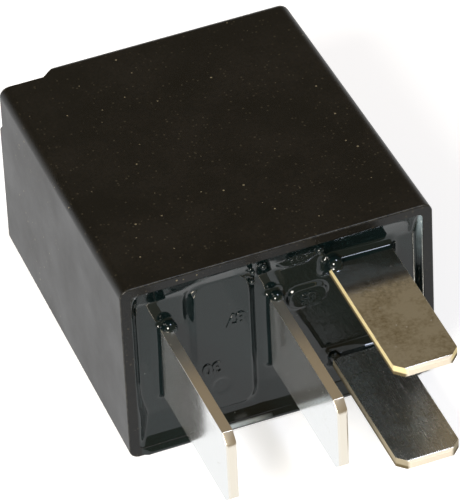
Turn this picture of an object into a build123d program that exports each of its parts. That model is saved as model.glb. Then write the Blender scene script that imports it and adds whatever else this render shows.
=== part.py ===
from build123d import *
import math
import os

os.makedirs("parts", exist_ok=True)

# Sealed four-blade automotive relay, normally open, lying on one of its broad faces.
# X runs across the relay, +Y from the blade tips to the closed end of the cover, +Z up.
# The origin is on the surface that the relay lies on, under the middle of its whole length.
# Places across the relay are measured from its left side, heights from its lower broad face
# and depths from the open rim of the cover, where the blades come out.

# Cover, a box with one open end
body_width = 23.5
body_height = 15.6
body_depth = 26.5
wall = 0.75
end_wall = 0.9
side_draft = 0.35
top_draft = 0.7
corner_radius = 0.75
end_round = 0.6
rim_round = 0.12
notch_size = 3.4
notch_depth = 1.1
notch_ramp = 1.3

# Blades
blade_thickness = 0.8
load_blade_width = 6.3
coil_blade_width = 4.8
blade_reach = 12.2
tip_chamfer = 0.8
tip_bevel = 0.18
coil_blade_rise = 3.5

# Places across the relay, as shares of its width: blades, prongs of the coil blades,
# inner stem of blade 87, contacts and rest stop
blade_30_share = 0.141
blade_87_share = 0.49
coil_blade_share = 0.766
prong_share = 0.82
stem_share = 0.72
contact_share = 0.8
stop_share = 0.92

# Base plate that the blades pass through, and the resin poured over it
base_fit = 0.1
base_front = 1.6
base_thickness = 1.6
slot_clearance = 0.05
resin_surface = 0.8
pad_shift = 0.22
pad_width = 3.85
pad_margin = 1.25
pad_round = 0.95
pad_top = 0.5
number_boss_length = 2.7
number_boss_height = 1.5
number_boss_top = 0.6
upper_boss_offset = 1.85
upper_boss_drop = 1.7
lower_boss_offset = 2.6
lower_boss_rise = 2.0
rail_width = 1.6

# Magnet: yoke, core and armature
yoke_thickness = 1.4
yoke_inset = 0.4
yoke_foot_top = 6.2
yoke_end = 21.0
yoke_foot_overhang = 0.5
lug_width = 1.2
lug_height = 0.9
lug_clearance = 0.15
core_share = 0.415
pole_inset = 1.5
pole_thickness = 1.0
armature_clear = 1.0
armature_thickness = 1.3
open_angle = 2.0
touch_gap = 0.03
press_clearance = 0.02

# Coil
bobbin_gap = 0.3
bobbin_margin = 1.0
bobbin_round = 1.0
flange_thickness = 0.8
seat_gap = 0.05
spool_wall = 0.65
winding_share = 0.907
lead_radius = 0.12
wrap_length = 0.8
wrap_thickness = 0.3

# Prongs of the coil blades, inside the cover
prong_width = 1.4
prong_end = 9.0
wrap_setback = 0.3

# Contact spring and its rivets
spring_thickness = 0.25
spring_width = 8.0
spring_leg_start = 10.5
spring_straight = 2.2
spring_rise = 1.4
spring_bulge = 1.2
spring_bend = 0.7
spring_tip_width = 3.6
spring_tip_overhang = 1.7
window_width = 3.6
window_inset = 0.3
rivet_radius = 0.6
rivet_head_radius = 1.1
rivet_head = 0.4
yoke_rivet_depth = 13.2
yoke_rivet_pitch = 5.2
armature_rivet_setback = 4.6
armature_rivet_pitch = 4.2

# Contacts
contact_radius = 1.45
moving_contact_height = 0.7
fixed_contact_height = 0.5
contact_edge = 0.12
contact_tail_radius = 1.0
contact_tail = 0.35

# Inner arm of blade 87 and the rest stop
rail_gap = 0.3
bend_radius = 0.8
stem_gap = 0.3
arm_overhang = 1.5
weld_tab_end = 9.0
stop_thickness = 0.6
stop_width = 4.0
stop_socket = 0.8
stop_overlap = 1.4

# Suppression resistor across the coil
resistor_radius = 0.8
resistor_cap_radius = 0.95
resistor_length = 4.0
resistor_cap = 0.9
resistor_depth = 6.3
resistor_lead_radius = 0.25
lead_hole_clearance = 0.05
resistor_lead_tail = 0.5

# Places worked out from the sizes above
left_x = -body_width / 2
rim_y = (blade_reach - body_depth) / 2
middle_z = body_height / 2
overrun = end_wall
base_back = base_front + base_thickness
end_top = body_height - top_draft
notch_reach = notch_size + side_draft
blade_30_x = body_width * blade_30_share
blade_87_x = body_width * blade_87_share
coil_blade_x = body_width * coil_blade_share
prong_x = body_width * prong_share
stem_x = body_width * stem_share
contact_x = body_width * contact_share
stop_x = body_width * stop_share
lower_blade_z = coil_blade_rise
upper_blade_z = body_height - coil_blade_rise
yoke_x = blade_30_x + blade_thickness / 2
yoke_foot_start = yoke_foot_top - yoke_thickness
prong_left = prong_x - prong_width / 2
prong_right = prong_x + prong_width / 2
bobbin_left = yoke_x + yoke_thickness + bobbin_gap
bobbin_width = stem_x - blade_thickness / 2 - stem_gap - bobbin_left
bobbin_height = body_height - (wall + bobbin_margin) * 2
coil_x = bobbin_left + bobbin_width / 2
winding_radius = bobbin_width / 2 * winding_share
core_radius = bobbin_width / 2 * core_share
spool_radius = core_radius + seat_gap + spool_wall
pole_radius = bobbin_width / 2 - pole_inset
yoke_width = (winding_radius - yoke_inset) * 2
inner_width = yoke_width - (rail_width + rail_gap) * 2
yoke_foot_x = coil_x + core_radius + yoke_foot_overhang + yoke_thickness
armature_length = stem_x - blade_thickness / 2 - armature_clear - yoke_x
contact_arm = contact_x - yoke_x
bobbin_start = yoke_foot_top + seat_gap
bobbin_end = yoke_end - pole_thickness - seat_gap
armature_face = yoke_end + touch_gap
armature_back = armature_face + armature_thickness
spring_back = armature_back + spring_thickness
tilt = math.radians(open_angle)


def face_plane(depth):
    """Plane across the relay: its x runs from the left side, its y up, its normal to the blades."""
    return Plane(origin=(left_x, rim_y + depth, 0), x_dir=(1, 0, 0), z_dir=(0, -1, 0))


def plan_plane(height):
    """Level plane: its x runs from the left side, its y is the depth behind the rim."""
    return Plane(origin=(left_x, rim_y, height), x_dir=(1, 0, 0), z_dir=(0, 0, 1))


def upright_plane(across):
    """Plane along the relay and upright: its x is the height, its y the depth behind the rim."""
    return Plane(origin=(left_x + across, rim_y, 0), x_dir=(0, 0, 1), z_dir=(-1, 0, 0))


def armature_plane(closed_depth):
    """Plane that turns with the armature: x is the distance from the hinge, y up from the middle."""
    swing = closed_depth - yoke_end
    origin_x = left_x + yoke_x - swing * math.sin(tilt)
    origin_y = rim_y + yoke_end + swing * math.cos(tilt)
    along = (math.cos(tilt), math.sin(tilt), 0)
    towards_blades = (math.sin(tilt), -math.cos(tilt), 0)
    return Plane(origin=(origin_x, origin_y, middle_z), x_dir=along, z_dir=towards_blades)


def swung(distance, closed_depth):
    """Place across and depth of a point of the armature in its open position."""
    swing = closed_depth - yoke_end
    across = yoke_x + distance * math.cos(tilt) - swing * math.sin(tilt)
    depth = yoke_end + distance * math.sin(tilt) + swing * math.cos(tilt)
    return (across, depth)


def patch(plane, left, right, low, high, rounding=0):
    """Rectangle between two places and two heights of a plane, with rounded corners if asked."""
    with BuildSketch(plane) as outline:
        with Locations(((left + right) / 2, (low + high) / 2)):
            if rounding > 0:
                RectangleRounded(right - left, high - low, rounding)
            else:
                Rectangle(right - left, high - low)
    return outline.sketch


def disc(plane, radius, places):
    """Round outlines at the given places of a plane."""
    with BuildSketch(plane) as outline:
        with Locations(*places):
            Circle(radius)
    return outline.sketch


def blade_outline(plane, middle, width, back):
    """Outline of a blade from its tip with cut corners to a depth behind the rim."""
    half = width / 2
    with BuildSketch(plane) as outline:
        with BuildLine():
            Polyline(
                (middle - half, back),
                (middle - half, tip_chamfer - blade_reach),
                (middle - half + tip_chamfer, -blade_reach),
                (middle + half - tip_chamfer, -blade_reach),
                (middle + half, tip_chamfer - blade_reach),
                (middle + half, back),
                close=True,
            )
        make_face()
    return outline.sketch


def strip_outline(plane, points, thickness, radius):
    """Edge-on outline of a strip bent along a line of points."""
    with BuildSketch(plane) as outline:
        with BuildLine():
            FilletPolyline(*points, radius=radius)
        trace(line_width=thickness)
    return outline.sketch


def cover_side(depth, inset):
    """Place across the relay of the cover's left side at a depth, or of a surface inset from it."""
    return side_draft * depth / body_depth + inset


def cover_top(depth, inset):
    """Height of the cover's upper face at a depth, or of a surface inset from it."""
    return body_height - top_draft * depth / body_depth - inset


def drafted_block(front, back, inset, rounding):
    """Block between two depths that keeps an inset from the drafted outside of the cover."""
    with BuildPart() as block:
        with BuildSketch(plan_plane(0)):
            with BuildLine():
                Polyline(
                    (cover_side(front, inset), front),
                    (body_width - cover_side(front, inset), front),
                    (body_width - cover_side(back, inset), back),
                    (cover_side(back, inset), back),
                    close=True,
                )
            make_face()
        extrude(amount=body_height)
        with BuildSketch(upright_plane(0)):
            with BuildLine():
                Polyline(
                    (inset, front),
                    (cover_top(front, inset), front),
                    (cover_top(back, inset), back),
                    (inset, back),
                    close=True,
                )
            make_face()
        extrude(amount=-body_width, mode=Mode.INTERSECT)
        ends = block.faces().sort_by(Axis.Y)
        long_edges = block.edges() - ends[0].edges() - ends[-1].edges()
        fillet(long_edges, radius=rounding)
    return block.part


# Hollow of the cover, stepped in behind the notch at the closed end
inner_radius = corner_radius - wall / 2
with BuildPart() as hollow:
    add(drafted_block(0, body_depth - end_wall, wall, inner_radius))
    extrude(
        patch(
            face_plane(body_depth - notch_depth - end_wall),
            0,
            notch_reach + notch_ramp,
            end_top - notch_size - notch_ramp,
            body_height,
        ),
        amount=-(notch_depth + overrun),
        mode=Mode.SUBTRACT,
    )

# Cover
with BuildPart() as cover:
    add(drafted_block(0, body_depth, 0, corner_radius))
    fillet(cover.faces().sort_by(Axis.Y)[-1].edges(), radius=end_round)
    notch_floor = patch(
        face_plane(body_depth - notch_depth),
        -notch_size,
        notch_reach,
        end_top - notch_size,
        body_height + notch_size,
    )
    ramp_angle = math.degrees(math.atan2(notch_ramp, notch_depth))
    extrude(notch_floor, amount=-notch_depth * 2, taper=-ramp_angle, mode=Mode.SUBTRACT)
    add(hollow.part, mode=Mode.SUBTRACT)
    rim_edges = cover.faces().sort_by(Axis.Y)[0].outer_wire().edges()
    fillet(rim_edges, radius=rim_round)
cover.part.label = "cover"
export_step(cover.part, "parts/cover.step")

# Blade 30, welded by its inner end to the outside of the yoke
with BuildPart() as terminal_30:
    extrude(
        blade_outline(upright_plane(blade_30_x), middle_z, load_blade_width, weld_tab_end),
        amount=blade_thickness / 2,
        both=True,
    )
    chamfer(terminal_30.faces().sort_by(Axis.Y)[0].edges(), length=tip_bevel)
terminal_30.part.label = "terminal_30"
export_step(terminal_30.part, "parts/terminal_30.step")

# Blade 87: behind the base plate it runs across under the yoke, rises beside the bobbin
# and turns over to hold the fixed contact
arm_top = armature_back - moving_contact_height - touch_gap - fixed_contact_height
arm_middle = arm_top - blade_thickness / 2
run_middle = base_back + bend_radius
with BuildPart() as terminal_87:
    extrude(
        blade_outline(upright_plane(blade_87_x), middle_z, load_blade_width, base_back),
        amount=blade_thickness / 2,
        both=True,
    )
    chamfer(terminal_87.faces().sort_by(Axis.Y)[0].edges(), length=tip_bevel)
    inner_path = [
        (blade_87_x, base_front),
        (blade_87_x, run_middle),
        (stem_x, run_middle),
        (stem_x, arm_middle),
        (contact_x + arm_overhang, arm_middle),
    ]
    extrude(
        strip_outline(plan_plane(middle_z), inner_path, blade_thickness, bend_radius),
        amount=inner_width / 2,
        both=True,
    )
    arm_hole = disc(face_plane(arm_top), rivet_radius + press_clearance, [(contact_x, middle_z)])
    extrude(arm_hole, amount=-blade_thickness, both=True, mode=Mode.SUBTRACT)
terminal_87.part.label = "terminal_87"
export_step(terminal_87.part, "parts/terminal_87.step")

# Coil blades, each with a narrow prong inside for the wire and the resistor
lead_hole = resistor_lead_radius + lead_hole_clearance


def coil_terminal(height):
    """One flat coil blade at a height above the lower face, with its prong."""
    plane = plan_plane(height)
    with BuildPart() as terminal:
        extrude(
            blade_outline(plane, coil_blade_x, coil_blade_width, base_back),
            amount=blade_thickness / 2,
            both=True,
        )
        chamfer(terminal.faces().sort_by(Axis.Y)[0].edges(), length=tip_bevel)
        extrude(
            patch(plane, prong_left, prong_right, base_front, prong_end),
            amount=blade_thickness / 2,
            both=True,
        )
        extrude(
            disc(plane, lead_hole, [(prong_x, resistor_depth)]),
            amount=blade_thickness,
            both=True,
            mode=Mode.SUBTRACT,
        )
    return terminal.part


terminal_85 = coil_terminal(lower_blade_z)
terminal_85.label = "terminal_85"
export_step(terminal_85, "parts/terminal_85.step")
terminal_86 = coil_terminal(upper_blade_z)
terminal_86.label = "terminal_86"
export_step(terminal_86, "parts/terminal_86.step")

# Rest stop: a bent strip that the moving contact leans on while the coil is off
stop_face = swung(contact_arm + contact_tail_radius, spring_back + contact_tail)[1] + touch_gap
stop_middle = stop_face + stop_thickness / 2
with BuildPart() as back_stop:
    stop_path = [
        (stop_x, base_back - stop_socket),
        (stop_x, stop_middle),
        (contact_x - stop_overlap, stop_middle),
    ]
    extrude(
        strip_outline(plan_plane(middle_z), stop_path, stop_thickness, bend_radius),
        amount=stop_width / 2,
        both=True,
    )
back_stop.part.label = "back_stop"
export_step(back_stop.part, "parts/back_stop.step")

# Base plate: number pad and bosses outside, rails for the yoke inside
number_bosses = [
    (blade_87_x + upper_boss_offset, body_height - upper_boss_drop),
    (blade_87_x + lower_boss_offset, middle_z + lower_boss_rise),
]


def boss_outline(plane):
    """Rounded outlines of the two small number bosses."""
    with BuildSketch(plane) as outline:
        with Locations(*number_bosses):
            SlotOverall(number_boss_length, number_boss_height)
    return outline.sketch


def pad_outline(plane):
    """Rounded outline of the large number pad between the load blades."""
    pad_left = (blade_30_x + blade_87_x - pad_width) / 2 + pad_shift
    pad_low = wall + pad_margin
    pad_high = body_height - pad_low
    return patch(plane, pad_left, pad_left + pad_width, pad_low, pad_high, pad_round)


def blade_sections(plane, clearance):
    """Sections of all four blades, each wider by a clearance all round."""
    thick = blade_thickness + clearance * 2
    load_width = load_blade_width + clearance * 2
    coil_width = coil_blade_width + clearance * 2
    with BuildSketch(plane) as outline:
        with Locations((blade_30_x, middle_z), (blade_87_x, middle_z)):
            Rectangle(thick, load_width)
        with Locations((coil_blade_x, lower_blade_z), (coil_blade_x, upper_blade_z)):
            Rectangle(coil_width, thick)
    return outline.sketch


with BuildPart() as base:
    add(drafted_block(base_front, base_back, wall + base_fit, inner_radius))
    extrude(pad_outline(face_plane(base_front)), amount=base_front - pad_top)
    extrude(boss_outline(face_plane(base_front)), amount=base_front - number_boss_top)
    for rail_low in (middle_z - yoke_width / 2, middle_z + yoke_width / 2 - rail_width):
        rail = patch(
            face_plane(base_back),
            yoke_x + yoke_thickness,
            yoke_foot_x,
            rail_low,
            rail_low + rail_width,
        )
        extrude(rail, amount=base_back - yoke_foot_start)
    extrude(
        blade_sections(face_plane(base_back + overrun), slot_clearance),
        amount=base_thickness + overrun * 2,
        mode=Mode.SUBTRACT,
    )
    socket = patch(
        face_plane(base_back),
        stop_x - stop_thickness / 2 - slot_clearance,
        stop_x + stop_thickness / 2 + slot_clearance,
        middle_z - stop_width / 2 - slot_clearance,
        middle_z + stop_width / 2 + slot_clearance,
    )
    extrude(socket, amount=stop_socket, mode=Mode.SUBTRACT)
base.part.label = "base"
export_step(base.part, "parts/base.step")

# Sealing resin, poured over the base plate and round the blades up to just below the rim
with BuildPart() as resin_seal:
    add(drafted_block(resin_surface, base_front, wall, inner_radius))
    extrude(pad_outline(face_plane(body_depth)), amount=body_depth, mode=Mode.SUBTRACT)
    extrude(boss_outline(face_plane(body_depth)), amount=body_depth, mode=Mode.SUBTRACT)
    extrude(blade_sections(face_plane(body_depth), 0), amount=body_depth, mode=Mode.SUBTRACT)
resin_seal.part.label = "resin_seal"
export_step(resin_seal.part, "parts/resin_seal.step")

# Yoke, an L whose short leg carries the core and whose long leg carries the armature
yoke_low = middle_z - yoke_width / 2
yoke_high = middle_z + yoke_width / 2
yoke_rivet_places = [
    (middle_z - yoke_rivet_pitch / 2, yoke_rivet_depth),
    (middle_z + yoke_rivet_pitch / 2, yoke_rivet_depth),
]
with BuildPart() as yoke:
    leg = patch(plan_plane(middle_z), yoke_x, yoke_x + yoke_thickness, yoke_foot_start, yoke_end)
    foot = patch(plan_plane(middle_z), yoke_x, yoke_foot_x, yoke_foot_start, yoke_foot_top)
    extrude(leg, amount=yoke_width / 2, both=True)
    extrude(foot, amount=yoke_width / 2, both=True)
    bend_edge = yoke.edges().filter_by(Axis.Z).group_by(Axis.Y)[0].sort_by(Axis.X)[0]
    fillet(bend_edge, radius=yoke_thickness / 2)
    for lug_low in (yoke_low, yoke_high - lug_width):
        lug = patch(
            face_plane(yoke_end), yoke_x, yoke_x + yoke_thickness, lug_low, lug_low + lug_width
        )
        extrude(lug, amount=-lug_height)
    core_hole = disc(face_plane(yoke_foot_start), core_radius + press_clearance, [(coil_x, middle_z)])
    extrude(core_hole, amount=-yoke_thickness, mode=Mode.SUBTRACT)
    rivet_holes = disc(upright_plane(yoke_x), rivet_radius + press_clearance, yoke_rivet_places)
    extrude(rivet_holes, amount=-yoke_thickness, mode=Mode.SUBTRACT)
yoke.part.label = "yoke"
export_step(yoke.part, "parts/yoke.step")

# Core, staked into the yoke's short leg, with a wide pole towards the armature
with BuildPart() as core:
    core_start = face_plane(yoke_foot_start)
    pole_start = face_plane(yoke_end - pole_thickness)
    extrude(disc(core_start, core_radius, [(coil_x, middle_z)]), amount=yoke_foot_start - yoke_end)
    extrude(disc(pole_start, pole_radius, [(coil_x, middle_z)]), amount=-pole_thickness)
core.part.label = "core"
export_step(core.part, "parts/core.step")

# Bobbin, a spool between two square flanges
with BuildPart() as bobbin:
    for flange_start in (bobbin_start, bobbin_end - flange_thickness):
        flange = patch(
            face_plane(flange_start),
            coil_x - bobbin_width / 2,
            coil_x + bobbin_width / 2,
            middle_z - bobbin_height / 2,
            middle_z + bobbin_height / 2,
            bobbin_round,
        )
        extrude(flange, amount=-flange_thickness)
    spool = disc(face_plane(bobbin_start), spool_radius, [(coil_x, middle_z)])
    extrude(spool, amount=bobbin_start - bobbin_end)
    spool_hole = disc(face_plane(bobbin_start), core_radius + seat_gap, [(coil_x, middle_z)])
    extrude(spool_hole, amount=bobbin_start - bobbin_end, mode=Mode.SUBTRACT)
bobbin.part.label = "bobbin"
export_step(bobbin.part, "parts/bobbin.step")

# Coil: the winding and its two ends, which run to the prongs and are wrapped round them
winding_start = bobbin_start + flange_thickness + seat_gap
winding_end = bobbin_end - flange_thickness - seat_gap
wrap_middle = prong_end - wrap_setback - wrap_length / 2
with BuildPart() as coil_winding:
    extrude(
        disc(face_plane(winding_start), winding_radius, [(coil_x, middle_z)]),
        amount=winding_start - winding_end,
    )
    extrude(
        disc(face_plane(winding_start), spool_radius, [(coil_x, middle_z)]),
        amount=winding_start - winding_end,
        mode=Mode.SUBTRACT,
    )
    for side, prong_z in ((1, upper_blade_z), (-1, lower_blade_z)):
        half_wrap = blade_thickness / 2 + wrap_thickness
        wrap = patch(
            face_plane(wrap_middle - wrap_length / 2),
            prong_left - wrap_thickness,
            prong_right + wrap_thickness,
            prong_z - half_wrap,
            prong_z + half_wrap,
        )
        extrude(wrap, amount=-wrap_length)
        prong_hole = patch(
            face_plane(wrap_middle - wrap_length / 2),
            prong_left,
            prong_right,
            prong_z - blade_thickness / 2,
            prong_z + blade_thickness / 2,
        )
        extrude(prong_hole, amount=-wrap_length, mode=Mode.SUBTRACT)
        leave = (spool_radius + winding_radius) / 2 * math.sqrt(0.5)
        lead_y = rim_y + wrap_middle
        lead_start = Vector(left_x + coil_x + leave, lead_y, middle_z + side * leave)
        lead_finish = Vector(left_x + prong_left - wrap_thickness / 2, lead_y, prong_z)
        lead_way = lead_finish - lead_start
        lead_plane = Plane(origin=lead_start, z_dir=lead_way)
        extrude(disc(lead_plane, lead_radius, [(0, 0)]), amount=lead_way.length)
coil_winding.part.label = "coil_winding"
export_step(coil_winding.part, "parts/coil_winding.step")

# Armature, resting on the end of the yoke and located by its lugs
rivet_places = [
    (armature_length - armature_rivet_setback, -armature_rivet_pitch / 2),
    (armature_length - armature_rivet_setback, armature_rivet_pitch / 2),
]
with BuildPart() as armature:
    armature_start = armature_plane(armature_face)
    plate = patch(armature_start, 0, armature_length, -yoke_width / 2, yoke_width / 2)
    extrude(plate, amount=-armature_thickness)
    fillet(
        armature.edges().filter_by(Axis.Y, tolerance=open_angle * 2).group_by(Axis.X)[-1],
        radius=lug_width,
    )
    for side in (1, -1):
        lug_edge = side * (yoke_width / 2 - lug_width - lug_clearance)
        lug_room = patch(
            armature_start,
            -overrun,
            yoke_thickness + lug_clearance,
            min(lug_edge, side * yoke_width),
            max(lug_edge, side * yoke_width),
        )
        extrude(lug_room, amount=-armature_thickness * 2, both=True, mode=Mode.SUBTRACT)
    armature_holes = disc(armature_start, rivet_radius + press_clearance, rivet_places)
    extrude(armature_holes, amount=-armature_thickness, mode=Mode.SUBTRACT)
armature.part.label = "armature"
export_step(armature.part, "parts/armature.step")

# Contact spring: one leg riveted to the yoke, a bulged bend, one leg riveted to the armature
spring_x = yoke_x - spring_thickness / 2
spring_middle = armature_back + spring_thickness / 2
with BuildPart() as contact_spring:
    spring_path = [
        (spring_x, spring_leg_start),
        (spring_x, yoke_end - spring_straight),
        (spring_x - spring_bulge, yoke_end - spring_straight + spring_rise),
        swung(-spring_bulge - spring_thickness / 2, spring_middle),
        swung(contact_arm + spring_tip_overhang, spring_middle),
    ]
    extrude(
        strip_outline(plan_plane(middle_z), spring_path, spring_thickness, spring_bend),
        amount=spring_width / 2,
        both=True,
    )
    window = patch(
        plan_plane(middle_z),
        spring_x - spring_bulge * 2,
        yoke_x - window_inset,
        yoke_end - spring_straight,
        spring_back + spring_bulge,
    )
    extrude(window, amount=window_width / 2, both=True, mode=Mode.SUBTRACT)
    for side in (1, -1):
        tip_edge = side * spring_tip_width / 2
        tip_room = patch(
            armature_plane(armature_back),
            armature_length,
            contact_arm * 2,
            min(tip_edge, side * spring_width),
            max(tip_edge, side * spring_width),
        )
        extrude(tip_room, amount=spring_thickness * 2, both=True, mode=Mode.SUBTRACT)
    spring_leg_holes = disc(
        upright_plane(yoke_x), rivet_radius + press_clearance, yoke_rivet_places
    )
    extrude(spring_leg_holes, amount=spring_thickness * 2, both=True, mode=Mode.SUBTRACT)
    spring_holes = disc(
        armature_plane(armature_back),
        rivet_radius + press_clearance,
        rivet_places + [(contact_arm, 0)],
    )
    extrude(spring_holes, amount=spring_thickness * 2, both=True, mode=Mode.SUBTRACT)
contact_spring.part.label = "contact_spring"
export_step(contact_spring.part, "parts/contact_spring.step")

# Rivets that hold the spring to the yoke
with BuildPart() as yoke_rivets:
    outer = upright_plane(yoke_x - spring_thickness)
    inner = upright_plane(yoke_x + yoke_thickness)
    extrude(disc(outer, rivet_head_radius, yoke_rivet_places), amount=rivet_head)
    grip = spring_thickness + yoke_thickness
    extrude(disc(outer, rivet_radius, yoke_rivet_places), amount=-grip)
    extrude(disc(inner, rivet_head_radius, yoke_rivet_places), amount=-rivet_head)
yoke_rivets.part.label = "yoke_rivets"
export_step(yoke_rivets.part, "parts/yoke_rivets.step")

# Rivets that hold the spring to the armature, flush on the side of the pole
with BuildPart() as armature_rivets:
    back = armature_plane(spring_back)
    extrude(disc(back, rivet_head_radius, rivet_places), amount=-rivet_head)
    grip = spring_thickness + armature_thickness
    extrude(disc(back, rivet_radius, rivet_places), amount=grip)
armature_rivets.part.label = "armature_rivets"
export_step(armature_rivets.part, "parts/armature_rivets.step")

# Moving contact, riveted through the tip of the spring
with BuildPart() as moving_contact:
    tail_plane = armature_plane(spring_back)
    tip_place = [(contact_arm, 0)]
    extrude(disc(tail_plane, contact_tail_radius, tip_place), amount=-contact_tail)
    extrude(disc(tail_plane, rivet_radius, tip_place), amount=spring_thickness)
    head_plane = armature_plane(armature_back)
    extrude(disc(head_plane, contact_radius, tip_place), amount=moving_contact_height)
    head_edge = moving_contact.faces().sort_by(Axis.Y)[0].edges()
    fillet(head_edge, radius=contact_edge)
moving_contact.part.label = "moving_contact"
export_step(moving_contact.part, "parts/moving_contact.step")

# Fixed contact, riveted into the arm of blade 87
with BuildPart() as fixed_contact:
    fixed_place = [(contact_x, middle_z)]
    arm_plane = face_plane(arm_top)
    extrude(disc(arm_plane, contact_radius, fixed_place), amount=-fixed_contact_height)
    fillet(fixed_contact.faces().sort_by(Axis.Y)[-1].edges(), radius=contact_edge)
    extrude(disc(arm_plane, rivet_radius, fixed_place), amount=blade_thickness)
    under_plane = face_plane(arm_top - blade_thickness)
    extrude(disc(under_plane, contact_tail_radius, fixed_place), amount=contact_tail)
fixed_contact.part.label = "fixed_contact"
export_step(fixed_contact.part, "parts/fixed_contact.step")

# Suppression resistor, its two leads through the holes of the prongs
resistor_place = [(prong_x, resistor_depth)]
with BuildPart() as resistor:
    body_disc = disc(plan_plane(middle_z), resistor_radius, resistor_place)
    extrude(body_disc, amount=resistor_length / 2, both=True)
    for cap_low in (middle_z - resistor_length / 2, middle_z + resistor_length / 2 - resistor_cap):
        cap_disc = disc(plan_plane(cap_low), resistor_cap_radius, resistor_place)
        extrude(cap_disc, amount=resistor_cap)
    fillet(resistor.edges().filter_by(GeomType.CIRCLE).group_by(Axis.Z)[0], radius=lead_radius)
    fillet(resistor.edges().filter_by(GeomType.CIRCLE).group_by(Axis.Z)[-1], radius=lead_radius)
resistor.part.label = "resistor"
export_step(resistor.part, "parts/resistor.step")

with BuildPart() as resistor_leads:
    lead_reach = upper_blade_z - middle_z + blade_thickness / 2 + resistor_lead_tail
    lead_length = lead_reach - resistor_length / 2
    upper_start = plan_plane(middle_z + resistor_length / 2)
    lower_start = plan_plane(middle_z - lead_reach)
    extrude(disc(upper_start, resistor_lead_radius, resistor_place), amount=lead_length)
    extrude(disc(lower_start, resistor_lead_radius, resistor_place), amount=lead_length)
resistor_leads.part.label = "resistor_leads"
export_step(resistor_leads.part, "parts/resistor_leads.step")
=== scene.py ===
import math

import bpy
import numpy as np
from bpy.props import FloatProperty, FloatVectorProperty, PointerProperty
from mathutils import Matrix, Vector


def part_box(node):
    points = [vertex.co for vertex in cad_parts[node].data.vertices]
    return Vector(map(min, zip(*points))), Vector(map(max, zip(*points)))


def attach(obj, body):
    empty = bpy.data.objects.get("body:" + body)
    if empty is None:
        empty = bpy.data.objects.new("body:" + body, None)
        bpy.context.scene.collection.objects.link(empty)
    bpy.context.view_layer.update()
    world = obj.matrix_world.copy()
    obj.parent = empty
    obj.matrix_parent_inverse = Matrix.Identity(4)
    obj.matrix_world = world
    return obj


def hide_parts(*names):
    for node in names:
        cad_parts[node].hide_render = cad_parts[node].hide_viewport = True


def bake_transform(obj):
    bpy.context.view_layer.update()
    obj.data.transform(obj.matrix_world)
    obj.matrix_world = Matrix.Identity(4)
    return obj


bl_info = {
    "name": "Sealed relay dressing",
    "version": (1, 0, 0),
    "blender": (4, 5, 0),
    "location": "3D View > Sidebar > Relay",
    "description": "Dresses a sealed four-blade relay: cover, resin, blades and inner works",
    "category": "Object",
}

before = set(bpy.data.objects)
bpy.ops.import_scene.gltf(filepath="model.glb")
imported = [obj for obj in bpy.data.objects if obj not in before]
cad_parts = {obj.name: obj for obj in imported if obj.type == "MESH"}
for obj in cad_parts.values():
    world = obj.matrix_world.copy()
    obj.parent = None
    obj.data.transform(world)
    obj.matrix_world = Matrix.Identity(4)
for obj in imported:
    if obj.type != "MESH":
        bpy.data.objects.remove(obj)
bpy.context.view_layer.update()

MM = 0.001
# In metres, far beyond the relay
FAR = 1
# Roughness of every noise pattern, which is given its place, scale, detail and this in order
FINENESS = 0.6

# Places that the frame gives: the rim of the cover, the hollow behind it and the base plate
cover_low, cover_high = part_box("cover")
resin_low, resin_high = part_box("resin_seal")
rim_y = cover_low.y
pad_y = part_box("base")[0].y
upright_blades = ("terminal_30", "terminal_87")
flat_blades = ("terminal_85", "terminal_86")


def linear(hex_colour):
    """Linear red, green and blue of an sRGB colour written as #rrggbb."""
    channels = [int(hex_colour[i : i + 2], 16) / 255 for i in (1, 3, 5)]
    return tuple(c / 12.92 if c <= 0.04045 else ((c + 0.055) / 1.055) ** 2.4 for c in channels)


def tint(name, description, hex_colour):
    """A colour that a user may change."""
    kind = {"subtype": "COLOR", "size": 3, "min": 0, "max": 1}
    colour = linear(hex_colour)
    return FloatVectorProperty(name=name, description=description, default=colour, **kind)


def length(name, description, size_mm):
    """A length that a user may change, given in millimetres and kept in metres."""
    return FloatProperty(
        name=name, description=description, unit="LENGTH", precision=5, default=size_mm * MM
    )


def share_property(name, description, share):
    """A share from 0 to 1 that a user may change."""
    return FloatProperty(name=name, description=description, min=0, max=1, default=share)


def angle_property(name, degrees):
    """An angle of the camera that a user may change, given in degrees."""
    angle = math.radians(degrees)
    return FloatProperty(name=name, description="Of the camera", unit="ROTATION", default=angle)


class RelayCoverSettings(bpy.types.PropertyGroup):
    """Finish of the moulded cover."""

    plastic: tint("Plastic", "Black glass-filled nylon", "#070807")
    plastic_light: tint("Lighter plastic", "Where the moulding is scuffed", "#12100c")
    worn: tint("Worn edge", "Dusty plastic along the rim", "#4a4a44")
    dust: tint("Dust", "Grains of dust on the cover", "#a89d80")
    roughness: share_property("Roughness", "Of the moulded surface", 0.36)
    mottle: length("Mottle", "Size of the colour variation", 0.25)
    scuff: length("Scuff", "Size of the scuffed patches", 5)
    grain: length("Grain", "Spacing of the fine moulded grain", 0.11)
    grain_depth: length("Grain depth", "Height of the moulded grain", 0.004)
    speck_spacing: length("Speck spacing", "Between places that may have a grain", 0.5)
    worn_width: length("Worn width", "Width of the wear along the rim", 0.16)
    rim_skin: length("Rim skin", "Depth of the glossier skin at the rim's end", 0.03)


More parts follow.
